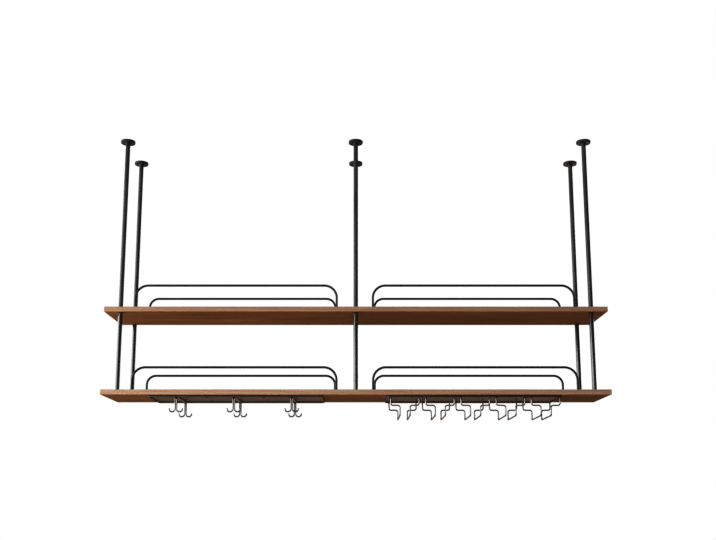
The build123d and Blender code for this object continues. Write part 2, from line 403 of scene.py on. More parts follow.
class Bench:
    """Where the nodes of one tree are made."""

    def __init__(self, tree: bpy.types.NodeTree) -> None:
        """Start with an empty tree."""
        self.tree = tree
        tree.nodes.clear()

    def node(self, kind: str, settings: Settings, inputs: Inputs, output: int | str = 0) -> Value:
        """Make one node, whose settings are set first.

        Args:
            kind: Blender's name of the node's type.
            settings: Its own settings. "stops" holds a ramp's positions and colours.
            inputs: What goes into each socket, as a Value or a constant.
            output: Which of its outputs to return.

        Returns:
            That output.
        """
        made = self.tree.nodes.new(kind)
        for setting, value in settings.items():
            if setting == "stops":
                self._set_stops(made.color_ramp, value)
            else:
                setattr(made, setting, value)
        for key, value in inputs.items():
            if isinstance(value, Value):
                self.tree.links.new(value.socket, made.inputs[key])
            else:
                made.inputs[key].default_value = value
        return Value(self, made.outputs[output] if made.outputs else None)

    @staticmethod
    def _set_stops(ramp: bpy.types.ColorRamp, stops: Sequence[tuple[float, Colour]]) -> None:
        """Give a ramp its colours.

        Args:
            ramp: The ramp, fresh from its node.
            stops: The positions and colours.
        """
        while len(ramp.elements) < len(stops):
            ramp.elements.new(1.0)
        for element, (position, colour) in zip(ramp.elements, stops):
            element.position = position
            element.color = (*colour, 1.0)

    @cached_property
    def place(self) -> Value:
        """The place on the object, in metres."""
        return self.node("ShaderNodeTexCoord", {}, {}, "Object")

    @cached_property
    def wear(self) -> Value:
        """How much rubbing and painted sheen the surface has."""
        return self.node("ShaderNodeAttribute", {"attribute_name": WEAR_AND_SHEEN}, {}, "Fac")

    def axes(self, vector: Value) -> tuple[Value, Value, Value]:
        """The three numbers of a vector."""
        split = self.node("ShaderNodeSeparateXYZ", {}, {0: vector})
        return tuple(Value(self, socket) for socket in split.socket.node.outputs)

    def moved(self, vector: Value, factors: Point, offset: Point) -> Value:
        """A vector times a factor along each axis, plus an offset."""
        settings = {"operation": "MULTIPLY_ADD"}
        return self.node("ShaderNodeVectorMath", settings, {0: vector, 1: factors, 2: offset})

    def noise(self, place: Value, layer: Layer) -> Value:
        """Make a layer of noise.

        Args:
            place: Where it is looked up.
            layer: The layer.

        Returns:
            The noise, from 0 to 1.
        """
        cell = self.moved(place, layer.cells, layer.offset)
        inputs = {"Vector": cell, "Scale": 1.0, "Detail": layer.detail, "Roughness": layer.roughness}
        return self.node("ShaderNodeTexNoise", {}, inputs, "Fac")

    def ramp(self, value: Value, stops: Sequence[tuple[float, Colour]]) -> Value:
        """The colour of a value on a ramp."""
        return self.node("ShaderNodeValToRGB", {"stops": stops}, {"Fac": value})

    def mixed(self, factor: "Value | float", first: "Value | Colour", second: "Value | Colour") -> Value:
        """A mix of two colours, from the first at a factor of 0 to the second at 1."""
        whole = [c if isinstance(c, Value) else (*c, 1.0) for c in (first, second)]
        return self.node("ShaderNodeMix", {"data_type": "RGBA"}, {0: factor, 6: whole[0], 7: whole[1]}, 2)

    def bump(self, height: Value, distance: float) -> Value:
        """The normal of a height field."""
        return self.node("ShaderNodeBump", {}, {"Height": height, "Distance": distance})


# Finishes


@dataclass(frozen=True)
class Finish(ABC):
    """What a surface is made of."""

    name: str

    @abstractmethod
    def sockets(self, bench: Bench) -> Inputs:
        """Make the finish's nodes.

        Args:
            bench: Where they are made.

        Returns:
            What goes into each socket of the surface's shader.
        """

    def material(self) -> bpy.types.Material:
        """Make the finish's material, if it isn't there yet.

        Returns:
            The material.
        """
        known = bpy.data.materials.get(self.name)
        if known is not None:
            return known
        material = bpy.data.materials.new(self.name)
        material.use_nodes = True
        bench = Bench(material.node_tree)
        shader = bench.node("ShaderNodeBsdfPrincipled", {}, self.sockets(bench))
        bench.node("ShaderNodeOutputMaterial", {}, {"Surface": shader})
        return material


@dataclass(frozen=True)
class Walnut(Finish):
    """Oiled walnut, sawn flat from a log that lies along the board.

    The growth rings are shells round a wandering pith line under the board, so the broad faces show long
    flames and the edges show straight lines.
    """

    pith: Place
    ring_spacing: float = 0.0105
    late_power: float = 1.8
    seed: float = 0.0
    dark: Colour = (0.150, 0.058, 0.020)
    middle: Colour = (0.270, 0.116, 0.041)
    pale: Colour = (0.370, 0.178, 0.068)
    streak: Colour = (0.400, 0.158, 0.045)
    pore: Colour = (0.060, 0.023, 0.009)
    # The veneered edge band's colours: partly its own paler tone, partly painted sheen on the front edges
    edge_band_and_sheen: Colour = (0.430, 0.285, 0.198)
    edge_band_line_and_sheen: Colour = (0.330, 0.200, 0.130)
    drift: Layer = Layer((1.1, 3.0, 3.0), detail=2.0)
    drift_reach: float = 0.11
    waver: Layer = Layer((5.0, 14.0, 14.0), (7.0, 0.0, 0.0), 2.0)
    waver_reach: float = 0.012
    planks: Layer = Layer((1.6, 7.0, 7.0), (3.0, 1.0, 0.0))
    bands: Layer = Layer((3.2, 55.0, 80.0), (0.0, 2.0, 5.0), 4.0, 0.6)
    fibres: Layer = Layer((9.0, 420.0, 420.0), roughness=0.65)
    vessels: Layer = Layer((38.0, 1500.0, 1500.0), (1.0, 4.0, 2.0), 2.0, 0.5)
    streaks: Layer = Layer((2.3, 38.0, 60.0), (9.0, 0.0, 3.0))
    relief: float = 0.12 * MM

    def sockets(self, bench: Bench) -> Inputs:
        """The grain in colour, roughness and bump, and the edge band, paler partly in tone and partly as
        painted sheen.
        """
        place = bench.moved(bench.place, (1.0, 1.0, 1.0), (self.seed, 0.0, 0.0))
        _, across, up = bench.axes(bench.place)
        sideways = across - self.pith[0] + (bench.noise(place, self.drift) - 0.5) * self.drift_reach
        above = up - self.pith[1] + (bench.noise(place, self.waver) - 0.5) * self.waver_reach
        late = (sideways.distance(above) / self.ring_spacing).fraction() ** self.late_power
        plank, band, fibre = (bench.noise(place, layer) for layer in (self.planks, self.bands, self.fibres))
        pores = bench.noise(place, self.vessels).between(0.60, 0.72)
        glow = bench.noise(place, self.streaks).between(0.56, 0.74)
        tone = plank * 0.42 + band * 0.46 + fibre * 0.16 - late * 0.12
        body = bench.ramp(tone, ((0.30, self.dark), (0.50, self.middle), (0.70, self.pale)))
        warmed = bench.mixed(glow * 0.45, body, self.streak)
        lined = bench.mixed(late * 0.30, warmed, self.dark)
        colour = bench.mixed(pores * 0.45, lined, self.pore)
        # The edge band's colour, partly its own tone and partly painted sheen
        veneer_and_sheen = bench.mixed((band * 0.6 + fibre * 0.5).between(0.40, 0.72), self.edge_band_line_and_sheen, self.edge_band_and_sheen)
        return {
            "Base Color": bench.mixed(bench.wear * 0.85, colour, veneer_and_sheen),
            "Roughness": 0.54 + fibre * 0.12 + pores * 0.10 - late * 0.04,
            "Normal": bench.bump(fibre * 0.6 - pores * 0.8 - late * 0.2, self.relief),
            "Specular IOR Level": 0.16,
        }


@dataclass(frozen=True)
class PowderCoat(Finish):
    """Powder coat with an orange peel, faint clouds in tone and gloss, and steel that shows at rubbing and at
    painted highlights.
    """

    tone: Colour = (0.018, 0.018, 0.019)
    bare_and_highlight: Colour = (0.240, 0.235, 0.230)
    gloss: float = 0.34
    specular: float = 0.5
    refraction: float = 1.5
    clouds: Layer = Layer((14.0, 14.0, 9.0))
    cloud_lift: float = 1.7
    peel: Layer = Layer((620.0,) * 3, detail=2.0, roughness=0.5)
    grit: Layer = Layer((2400.0,) * 3, detail=1.0)
    scuffs: Layer = Layer((240.0, 110.0, 90.0), (5.0, 1.0, 0.0))
    relief: float = 0.01 * MM

    def sockets(self, bench: Bench) -> Inputs:
        """The peel in bump, and clouds, rubbing and painted highlights in colour and roughness."""
        layers = self.clouds, self.peel, self.grit, self.scuffs
        cloud, peel, grit, scuff = (bench.noise(bench.place, layer) for layer in layers)
        # Rubbing through the coat, and the painted highlight on the channel wires' front legs and drops
        rubbing_and_highlight = (bench.wear * 1.25 + scuff * 0.9 - 0.55).between(0.25, 0.75)
        lifted = tuple(self.cloud_lift * c for c in self.tone)
        coat = bench.mixed(cloud.between(0.35, 0.75), self.tone, lifted)
        return {
            "Base Color": bench.mixed(rubbing_and_highlight * 0.6, coat, self.bare_and_highlight),
            "Roughness": self.gloss + (cloud - 0.5) * 0.12 + grit * 0.05 - rubbing_and_highlight * 0.06,
            "Metallic": rubbing_and_highlight * 0.8,
            "Normal": bench.bump(peel + grit * 0.3, self.relief),
            "Specular IOR Level": self.specular,
            "IOR": self.refraction,
        }


@dataclass(frozen=True)
class Steel(Finish):
    """Screw steel with fine marks from the lathe and a little stain."""

    tone: Colour = (0.100, 0.098, 0.096)
    stain: Colour = (0.040, 0.037, 0.034)
    gloss: float = 0.36
    marks: Layer = Layer((900.0, 900.0, 3200.0), detail=2.0)
    blots: Layer = Layer((240.0,) * 3, (2.0, 0.0, 0.0))
    relief: float = 0.02 * MM

    def sockets(self, bench: Bench) -> Inputs:
        """The lathe marks in bump and roughness, and the stain in colour."""
        marks, blot = bench.noise(bench.place, self.marks), bench.noise(bench.place, self.blots)
        return {
            "Base Color": bench.mixed(blot.between(0.42, 0.70), self.tone, self.stain),
            "Roughness": self.gloss + marks * 0.10 + blot * 0.08,
            "Normal": bench.bump(marks, self.relief),
            "Metallic": 1.0,
        }


@dataclass(frozen=True)
class FadingFloor(Finish):
    """A pale ground that fades into the backdrop away from the origin."""

    tone: Colour = (0.80, 0.80, 0.79)
    glow: Colour = (0.12, 0.12, 0.12)
    fade: Place = (0.8, 3.0)

    def sockets(self, bench: Bench) -> Inputs:
        """The fade from the ground's own colour to plain white glow."""
        east, north, _ = bench.axes(bench.place)
        faded = east.distance(north).between(*self.fade)
        return {
            "Base Color": bench.mixed(faded, self.tone, BLACK),
            "Emission Color": bench.mixed(faded, self.glow, WHITE),
            "Emission Strength": 1.0,
            "Roughness": 0.9,
            "Specular IOR Level": 0.0,
        }


UPPER_WALNUT = Walnut("walnut_upper", pith=(0.05, -0.84))
# The lower board's edge band is paler than the upper's: painted light on its front edge
LOWER_WALNUT = Walnut(
    "walnut_lower",
    pith=(-0.03, -1.13),
    seed=6.3,
    edge_band_and_sheen=(0.480, 0.345, 0.255),
    edge_band_line_and_sheen=(0.380, 0.250, 0.172),
)
# One black coat in two copies: the upper rods' paler in tone and rougher, the lower rods' darker and
# glossier, painting in how differently the light falls on each tier
TUBE_COATS = {
    "upper": PowderCoat("powder_coat_upper_tube", (0.038, 0.038, 0.039), specular=0.35),
    "lower": PowderCoat("powder_coat_lower_tube", (0.026, 0.026, 0.027), gloss=0.16, specular=1.0),
}
FLANGE_COAT = PowderCoat("powder_coat_flange", (0.020, 0.020, 0.021), gloss=0.40, specular=0.35)
RAIL_COAT = PowderCoat("powder_coat_rail", gloss=0.32, specular=0.25)
SHEET_COAT = PowderCoat("powder_coat_sheet", (0.044, 0.030, 0.022), gloss=0.32)
WIRE_COAT = PowderCoat("powder_coat_wire", gloss=0.20, specular=1.0, refraction=1.9)
# The channel wires' paler steel colour paints a highlight on their front legs and drops, and shows real
# rubbing along the rails
CHANNEL_COAT = replace(WIRE_COAT, name="powder_coat_channel", bare_and_highlight=(0.520, 0.512, 0.505))
BLACK_STEEL = Steel("blackened_steel")
BROWN_STEEL = Steel("browned_steel", (0.160, 0.078, 0.042), (0.080, 0.036, 0.020))
SCREW_STEEL = Steel("screw_steel", (0.300, 0.295, 0.290), (0.120, 0.115, 0.110))


def put_up(name: str, data: bpy.types.ID) -> bpy.types.Object:
    """Make an object and link it to the scene.

    Args:
        name: Its name.
        data: Its mesh, light or camera.

    Returns:
        The object.
    """
    made = bpy.data.objects.new(name, data)
    bpy.context.scene.collection.objects.link(made)
    return made


def place_piece(shell: Shell, name: str, finish: Finish, slot: Slot, *nodes: str) -> None:
    """Put a made piece on the rack.

    Args:
        shell: Its surfaces.
        name: Its name.
        finish: What it is made of.
        slot: The record's slot for its finish. It is not used.
        nodes: The nodes that it replaces.
    """
    piece = put_up(name, shell.made(name))
    piece.data.materials.append(finish.material())
    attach(piece, BODY)
    if nodes:
        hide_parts(*nodes)
    LOG.info("%-32s %6d faces, %s", name, len(piece.data.polygons), finish.name)


def middle_of(node: str) -> Place:
    """The middle of a node's box on the plan."""
    low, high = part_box(node)
    return (low.x + high.x) / 2, (low.y + high.y) / 2


def pan_screw_places(node: str) -> list[Place]:
    """Where the four screws of a pan stand, from the box of their node."""
    (left, front, _), (right, back, _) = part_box(node)
    return [(x, y) for x in (left + PAN_HEAD, right - PAN_HEAD) for y in (front + PAN_HEAD, back - PAN_HEAD)]


class SubAssembly(ABC):
    """A part of the rack that makes its own pieces."""

    @abstractmethod
    def build(self) -> None:
        """Make the pieces and put them on the rack."""


# Boards, rods and flanges


@dataclass(frozen=True)
class Board(SubAssembly):
    """A walnut board with softened edges, a veneered edge band paler partly as painted sheen, and all its
    holes.
    """

    node: str
    finish: Walnut
    rods: tuple[str, ...]
    rails: tuple[str, ...]
    pan_screws: tuple[str, ...] = ()
    rod_mouth: float = 8.6 * MM
    edge_round: float = 1.6 * MM
    corner_round: float = 2.6 * MM
    flat_hold: float = 0.5 * MM
    rod_hole: float = 8.6 * MM
    screw_hole: float = 4.6 * MM
    screw_mouth: float = 8.0 * MM
    pilot: float = 4.2 * MM
    pilot_depth: float = 13.5 * MM

    def _holes(self) -> list[Hole]:
        """Work out where the board is drilled.

        Returns:
            The holes of the rods, of the guard rails' screws and of the pans' screws.
        """
        holes = [Hole(middle_of(rod), self.rod_hole, self.rod_mouth) for rod in self.rods]
        for rail in self.rails:
            low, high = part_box(rail)
            for x in (low.x + RAIL_BAR / 2, high.x - RAIL_BAR / 2):
                holes.append(Hole((x, middle_of(rail)[1]), self.screw_hole, self.screw_mouth))
        for screws in self.pan_screws:
            for place in pan_screw_places(screws):
                holes.append(Hole(place, self.pilot, self.pilot, self.pilot_depth))
        return holes

    def build(self) -> None:
        """Make the board, whose edge is flat between two quarter rounds."""
        low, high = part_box(self.node)
        held = self.edge_round + self.flat_hold
        rim = softened([(held, high.z), (0.0, high.z), (0.0, low.z), (held, low.z)], [self.edge_round] * 2)
        # Rows of the veneered edge band, whose paler colour is partly painted sheen
        edge_band_and_sheen = (rim[:, 0] < self.edge_round - SAME_POINT).astype(float)
        shell = Shell()
        shell.slab(self.node, self.corner_round, rim, self._holes(), edge_band_and_sheen)
        place_piece(shell, f"{self.node}_walnut", self.finish, Slot.BOARD, self.node)


@dataclass(frozen=True)
class HangingRod(SubAssembly):
    """One length of round tube with a tapped slug in each end."""

    node: str
    finish: Finish
    bore: float = 13.0 * MM
    tap: float = 8.2 * MM
    slug: float = 24.0 * MM
    edge_round: float = 0.8 * MM

    def build(self) -> None:
        """Make the tube, whose closed profile runs up the outside and down the inside."""
        low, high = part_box(self.node)
        outer, bore, tap, edge = (high.x - low.x) / 2, self.bore / 2, self.tap / 2, self.edge_round
        base, top = low.z + self.slug, high.z - self.slug
        outside = [(tap, base), (tap, low.z), (outer, low.z), (outer, high.z)]
        corners = [*outside, (tap, high.z), (tap, top), (bore, top), (bore, base)]
        shell = Shell()
        shell.turned(middle_of(self.node), softened(corners, [0.0, edge, edge, 0.0, 0.0, 0.0]), closed=True)
        place_piece(shell, f"{self.node}_tube", self.finish, Slot.TUBE, self.node)


@dataclass(frozen=True)
class CeilingScrew:
    """A screw with a domed countersunk head and a cross recess, whose shank ends flush with the ceiling."""

    head: float = 8.2 * MM
    shank: float = 4.1 * MM
    dome: float = 0.7 * MM
    dome_steps: int = 6
    sunk: float = 0.25 * MM
    cross_depth: float = 1.1 * MM
    arm_width: float = 1.5 * MM
    arm_fade: float = 0.25 * MM
    arm_reach: float = 2.6 * MM
    reach_fade: float = 1.2 * MM
    rings: int = 24
    segments: int = 40

    def add(self, shell: Shell, place: Place, under: float, top: float) -> None:
        """Add the screw to a mesh.

        The dome falls with the square of the radius. The cross is deepest where either arm passes, which is
        where r * |sin t| or r * |cos t| is under half the arm's width, and it fades towards the arms' ends.

        Args:
            shell: The mesh that it joins.
            place: Where it stands.
            under: The height of the face that it is sunk in.
            top: The height of the ceiling.
        """
        rim, shank, edge = self.head / 2, self.shank / 2, under + self.sunk
        share = np.linspace(0, 1, self.dome_steps + 1)
        radius = rim * np.linspace(0, 1, self.rings + 1)
        height = np.interp(radius, rim * share, edge - self.dome * (1 - share ** 2))
        plans = radius[:, None, None] * circle((0.0, 0.0), 1.0, self.segments)
        arm = np.clip((self.arm_width / 2 - np.abs(plans).min(axis=2)) / self.arm_fade, 0, 1)
        reach = np.clip((self.arm_reach - radius) / self.reach_fade, 0, 1)[:, None]
        shell.grid(at_heights(np.array(place) + plans, height[:, None] + self.cross_depth * arm * reach))
        neck = np.array([[rim, edge], [shank, edge + rim - shank], [shank, top], [0.0, top]])
        shell.turned(place, neck, self.segments)


@dataclass(frozen=True)
class CeilingFlange(SubAssembly):
    """A round flange with a boss, held up by four countersunk screws."""

    node: str
    plate_thickness: float = 8.0 * MM
    back_round: float = 0.2 * MM
    rim_round: float = 1.4 * MM
    flat_hold: float = 0.3 * MM
    boss: float = 20.0 * MM
    boss_round: float = 0.9 * MM
    foot_round: float = 1.2 * MM
    tap: float = 8.2 * MM
    tap_depth: float = 9.0 * MM
    screw_circle: float = 36.0 * MM
    screw_hole: float = 4.5 * MM
    sink: float = 8.5 * MM
    screws: int = 4
    screw: CeilingScrew = CeilingScrew()

    def build(self) -> None:
        """Make the turned rim and boss, the faces above and below with their holes, and the screws."""
        low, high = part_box(self.node)
        centre, rim, boss, tap = middle_of(self.node), (high.x - low.x) / 2, self.boss / 2, self.tap / 2
        under, tap_end = high.z - self.plate_thickness, low.z + self.tap_depth
        back, face = rim - self.flat_hold, rim - self.rim_round - self.flat_hold
        foot = boss + self.foot_round + self.flat_hold
        outside = [(back, high.z), (rim, high.z), (rim, under), (face, under)]
        inside = [(foot, under), (boss, under), (boss, low.z), (tap, low.z), (tap, tap_end), (0.0, tap_end)]
        shell = Shell()
        shell.turned(centre, softened(outside, [self.back_round, self.rim_round]))
        shell.turned(centre, softened(inside, [self.foot_round, self.boss_round, 0.0, 0.0]))
        above, below, opening = (circle(centre, radius, FACETS) for radius in (back, face, foot))
        places = [tuple(row) for row in circle(centre, self.screw_circle / 2, self.screws).tolist()]
        holes = [Hole(place, self.screw_hole, self.sink) for place in places]
        shell.drilled([above], [below, opening], (high.z, under), holes)
        place_piece(shell, f"{self.node}_disc", FLANGE_COAT, Slot.FLANGE, self.node)
        screws = Shell()
        for place in places:
            self.screw.add(screws, place, under, high.z)
        place_piece(screws, f"{self.node}_screws", SCREW_STEEL, Slot.FASTENER)


@dataclass(frozen=True)
class GuardRail(SubAssembly):
    """An upside-down U of round bar that stands on a board."""

    node: str
    bend: float
    bend_steps: int = 24
    foot_round: float = 0.5 * MM
    segments: int = 40

    def build(self) -> None:
        """Make the bar, which goes up one leg, over and down the other."""
        low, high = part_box(self.node)
        radius, y = RAIL_BAR / 2, middle_of(self.node)[1]
        left, right, top = low.x + radius, high.x - radius, high.z - radius
        corners = [(left, y, low.z), (left, y, top), (right, y, top), (right, y, low.z)]
        stations = bent_line(corners, (self.bend, self.bend), self.bend_steps)
        shell = Shell()
        shell.tube(stations, radius, self.foot_round, segments=self.segments)
        place_piece(shell, f"{self.node}_bar", RAIL_COAT, Slot.RAIL, self.node)


# The racks under the lower board


@dataclass(frozen=True)
class RackPan(SubAssembly):
    """A shallow pan of folded sheet with a lip all round, open below and drilled for its screws."""

    node: str
    screws: str
    sheet: float = 1.5 * MM
    corner_round: float = 8.0 * MM
    corner_steps: int = 12
    outer_bend: float = 2.0 * MM
    inner_bend: float = 0.6 * MM
    lip_round: float = 0.45 * MM
    flat_hold: float = 0.5 * MM
    hole: float = 4.6 * MM
    hole_facets: int = 24

    def build(self) -> None:
        """Make the pan, whose profile goes from the flat top over the bend, down the lip and up inside it."""
        low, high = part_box(self.node)
        sheet, under = self.sheet, high.z - self.sheet
        start, end = self.outer_bend + self.flat_hold, sheet + self.inner_bend + self.flat_hold
        sharp = [(start, high.z), (0.0, high.z), (0.0, low.z), (sheet, low.z), (sheet, under), (end, under)]
        profile = softened(sharp, [self.outer_bend, self.lip_round, self.lip_round, self.inner_bend])
        places, facets = pan_screw_places(self.screws), self.hole_facets
        holes = [Hole(place, self.hole, self.hole, facets=facets) for place in places]
        shell = Shell()
        shell.slab(self.node, self.corner_round, profile, holes, steps=self.corner_steps)
        place_piece(shell, f"{self.node}_sheet", SHEET_COAT, Slot.SHEET, self.node)


@dataclass(frozen=True)
class Weld:
    """The rippled bead that a welder leaves, coated over with the wire."""

    size: float
    ripple: float = 0.14
    ripple_pitch: float = 1.6 * MM
    ripple_steps: int = 6
    ring_sway: float = 0.12
    run_sway: float = 0.1
    run_sway_waves: float = 0.85
    end_size: float = 0.55
    end_power: float = 0.35
    end_round: float = 0.9
    turn_facets: int = 48
    section_facets: int = 14

    def ring(self, shell: Shell, place: Point, wire_radius: float, random: np.random.Generator) -> None:
        """Add a bead round the end of an upright wire: a ring whose section swells and shrinks.

        Args:
            shell: The mesh that it joins.
            place: Where the wire meets the sheet.
            wire_radius: Half the wire's diameter.
            random: The source of the hand's unevenness.
        """
        turns = np.arange(self.turn_facets) * TURN / self.turn_facets
        waves = round(TURN * wire_radius / self.ripple_pitch)
        sway = self.ring_sway * np.cos(2 * turns + random.uniform(0, TURN))
        size = self.size * (1 + self.ripple * np.cos(waves * turns) + sway)
        section = circle((0.0, 0.0), 1.0, self.section_facets)
        reach = wire_radius + size[:, None] * section[:, 0]
        around = circle((0.0, 0.0), 1.0, self.turn_facets)
        plans = np.array(place[:2]) + reach[..., None] * around[:, None]
        shell.grid(at_heights(plans, place[2] + size[:, None] * section[:, 1]), loop_rows=True)

    def run(self, shell: Shell, start: Point, end: Point, random: np.random.Generator) -> None:
        """Add a straight bead, whose radius ripples along it and falls towards its ends.

        Args:
            shell: The mesh that it joins.
            start: One end of its middle line.
            end: The other end.
            random: The source of the hand's unevenness.
        """
        reach = np.subtract(end, start)
        length = float(np.linalg.norm(reach))
        share = np.linspace(0, 1, self.ripple_steps * round(length / self.ripple_pitch) + 1)
        directions = np.repeat(reach[None] / length, len(share), axis=0)
        waves = self.ripple * np.cos(TURN * share * length / self.ripple_pitch)
        sway = self.run_sway * np.sin(TURN * share * self.run_sway_waves + random.uniform(0, TURN))
        fall = self.end_size + (1 - self.end_size) * np.sin(math.pi * share) ** self.end_power
        radii = self.size * (1 + waves + sway) * fall
        stations = (np.array(start) + share[:, None] * reach, directions)
        shell.tube(stations, radii, float(radii[0]) * self.end_round, segments=self.section_facets)


class Span(NamedTuple):
    """The middle line of a wire, from its outer run to its inner one and from front to back, and its top."""

    outer: float
    inner: float
    front: float
    back: float
    bottom: float
    top: float


@dataclass(frozen=True)
class BentWire(SubAssembly):
    """A wire whose end, step across and run from front to back lie on three levels, the same at both ends."""

    node: str
    side: Side
    finish: Finish = WIRE_COAT
    wire: float = 5.0 * MM
    end_round: float = 0.4 * MM
    bends: tuple[float, ...] = (8.0 * MM, 8.0 * MM, 8.0 * MM)
    bend_steps: int = 14
    weld: Weld = Weld(1.5 * MM)

    @cached_property
    def span(self) -> Span:
        """Work out where the wire runs.

        Returns:
            Its span, from its node's box.
        """
        low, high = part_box(self.node)
        radius = self.wire / 2
        near, far = low.x + radius, high.x - radius
        sides = (near, far) if self.side is Side.LEFT else (far, near)
        return Span(*sides, low.y + radius, high.y - radius, low.z + radius, high.z)

    @abstractmethod
    def levels(self) -> tuple[float, float, float]:
        """The heights of the wire's end, of its step across and of its run from front to back."""

    @abstractmethod
    def rubbing_and_highlight(self, points: Array) -> Array:
        """Work out how much rubbing and painted highlight the wire has.

        Args:
            points: The points of its line.

        Returns:
            A number from 0 to 1 for each.
        """

    @abstractmethod
    def add_welds(self, shell: Shell, random: np.random.Generator) -> None:
        """Add the beads that hold the wire to its pan.

        Args:
            shell: The mesh that they join.
            random: The source of the hand's unevenness.
        """

    def build(self) -> None:
        """Make the wire."""
        span, (end, step, run) = self.span, self.levels()
        half = [(span.outer, end), (span.outer, step), (span.inner, step), (span.inner, run)]
        front = [(x, span.front, z) for x, z in half]
        back = [(x, span.back, z) for x, z in reversed(half)]
        stations = bent_line(front + back, (*self.bends, *reversed(self.bends)), self.bend_steps)
        shell = Shell()
        shell.tube(stations, self.wire / 2, self.end_round, self.rubbing_and_highlight(stations[0]))
        place_piece(shell, f"{self.node}_rod", self.finish, Slot.WIRE, self.node)


@dataclass(frozen=True)
class MugHookWire(BentWire):
    """One wire of a mug hook unit: a hook in front, a run under the pan and a hook behind."""

    end_round: float = 1.6 * MM
    bends: tuple[float, ...] = (10.5 * MM, 10.5 * MM, 8.0 * MM)
    bend_steps: int = 18
    tip_rise: float = 2.0 * MM
    rubbed_share: float = 0.45
    weld: Weld = Weld(1.3 * MM)
    weld_length: float = 14.0 * MM
    weld_spacing: float = 62.0 * MM
    weld_sunk: float = 0.5 * MM

    def levels(self) -> tuple[float, float, float]:
        """The hook's tip, its bowl, and the run against the pan."""
        bottom, run = self.span.bottom, self.span.top - self.wire / 2
        return bottom + self.bends[0] + self.tip_rise, bottom, run

    def rubbing_and_highlight(self, points: Array) -> Array:
        """Most in the bowl of each hook."""
        return np.clip(1 - (points[:, 2] - self.span.bottom) / (self.rubbed_share * self.bends[0]), 0, 1)

    def add_welds(self, shell: Shell, random: np.random.Generator) -> None:
        """Three beads in the groove between the wire's outer side and the pan."""
        x = self.span.inner + self.side.value * (self.wire / 2 - self.weld_sunk)
        z, reach = self.span.top - self.weld_sunk, self.weld_length / 2
        for middle in (-self.weld_spacing, 0.0, self.weld_spacing):
            self.weld.run(shell, (x, middle - reach, z), (x, middle + reach, z), random)


@dataclass(frozen=True)
class GlassWire(BentWire):
    """One wire of a stemware channel: down, a step inwards, down again, and back as the rail."""

    finish: Finish = CHANNEL_COAT
    step_drop: float = 32.5 * MM
    # Painted highlight on the front legs and drops; real rubbing on the rail
    leg_painted_highlight: float = 0.95
    drop_painted_highlight: float = 0.45
    rail_wear: float = 0.35
    near: float = 0.5 * MM

    def levels(self) -> tuple[float, float, float]:
        """The pan, the step and the rail."""
        return self.span.top, self.span.top - self.step_drop, self.span.bottom

    def rubbing_and_highlight(self, points: Array) -> Array:
        """Painted highlight on the front legs, less on the drops below them, and real rubbing a little along
        the rail.
        """
        on_rail = np.abs(points[:, 2] - self.span.bottom) < self.near
        in_front = points[:, 1] < self.span.front + self.near
        on_leg = in_front & (points[:, 2] > self.span.top - self.step_drop - self.near)
        return np.select([on_leg, in_front, on_rail], [self.leg_painted_highlight, self.drop_painted_highlight, self.rail_wear], 0.0)

    def add_welds(self, shell: Shell, random: np.random.Generator) -> None:
        """A bead round each end."""
        for y in (self.span.front, self.span.back):
            self.weld.ring(shell, (self.span.outer, y, self.span.top), self.wire / 2, random)


@dataclass(frozen=True)
class WireRack(SubAssembly):
    """A pan with pairs of mirrored wires and their welds."""

    name: str
    wire_name: str
    wire: type[BentWire]
    pairs: int
    seed: int

    def build(self) -> None:
        """Make the pan, the wires and the welds."""
        RackPan(f"{self.name}_pan", f"{self.name}_screws").build()
        random = np.random.default_rng(self.seed)
        welds = Shell()
        for number in range(1, self.pairs + 1):
            for side in Side:
                wire = self.wire(f"{self.wire_name}_{number}_{side.name.lower()}", side)
                wire.build()
                wire.add_welds(welds, random)
        place_piece(welds, f"{self.name}_welds", WIRE_COAT, Slot.WIRE)


@dataclass(frozen=True)
class Fasteners(SubAssembly):
    """Screws, bolts and studs of the frame, which keep their own solids and get their finish here."""

    finish: Finish
    nodes: tuple[str, ...]

    def build(self) -> None:
        """Dress every node."""
        for node in self.nodes:
            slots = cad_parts[node].data.materials
            slots.clear()
            slots.append(self.finish.material())
            LOG.info("%-32s kept, %s", node, self.finish.name)


# The studio


@dataclass(frozen=True)
class Viewpoint:
    """The camera, in front of the rack and below it, tilted up."""

    place: Point = (0.0, -3.321, -1.333)
    tilt_deg: float = 10.03
    focal_px: float = 915.4
    shift: Place = (0.0031, 0.104)

    def build(self) -> None:
        """Put up the camera."""
        camera = put_up("camera", bpy.data.cameras.new("camera"))
        camera.location = self.place
        camera.rotation_euler = (QUARTER_TURN + math.radians(self.tilt_deg), 0.0, 0.0)
        camera.data.sensor_width = SENSOR_WIDTH
        camera.data.lens = self.focal_px * SENSOR_WIDTH / PHOTO_WIDTH
        camera.data.shift_x, camera.data.shift_y = self.shift
        bpy.context.scene.camera = camera


@dataclass(frozen=True)
class Softbox:
    """A rectangular soft light that faces a point, and that gloss mirrors or not."""

    name: str
    place: Point
    aim: Point
    size: Place
    watts: float
    mirrored: bool = True

    def build(self) -> None:
        """Hang the light."""
        light = bpy.data.lights.new(self.name, "AREA")
        light.shape = "RECTANGLE"
        light.size, light.size_y = self.size
        light.energy = self.watts
        lamp = put_up(self.name, light)
        lamp.visible_camera, lamp.visible_glossy = False, self.mirrored
        turn = (Vector(self.aim) - Vector(self.place)).to_track_quat("-Z", "Y")
        lamp.matrix_world = Matrix.Translation(self.place) @ turn.to_matrix().to_4x4()


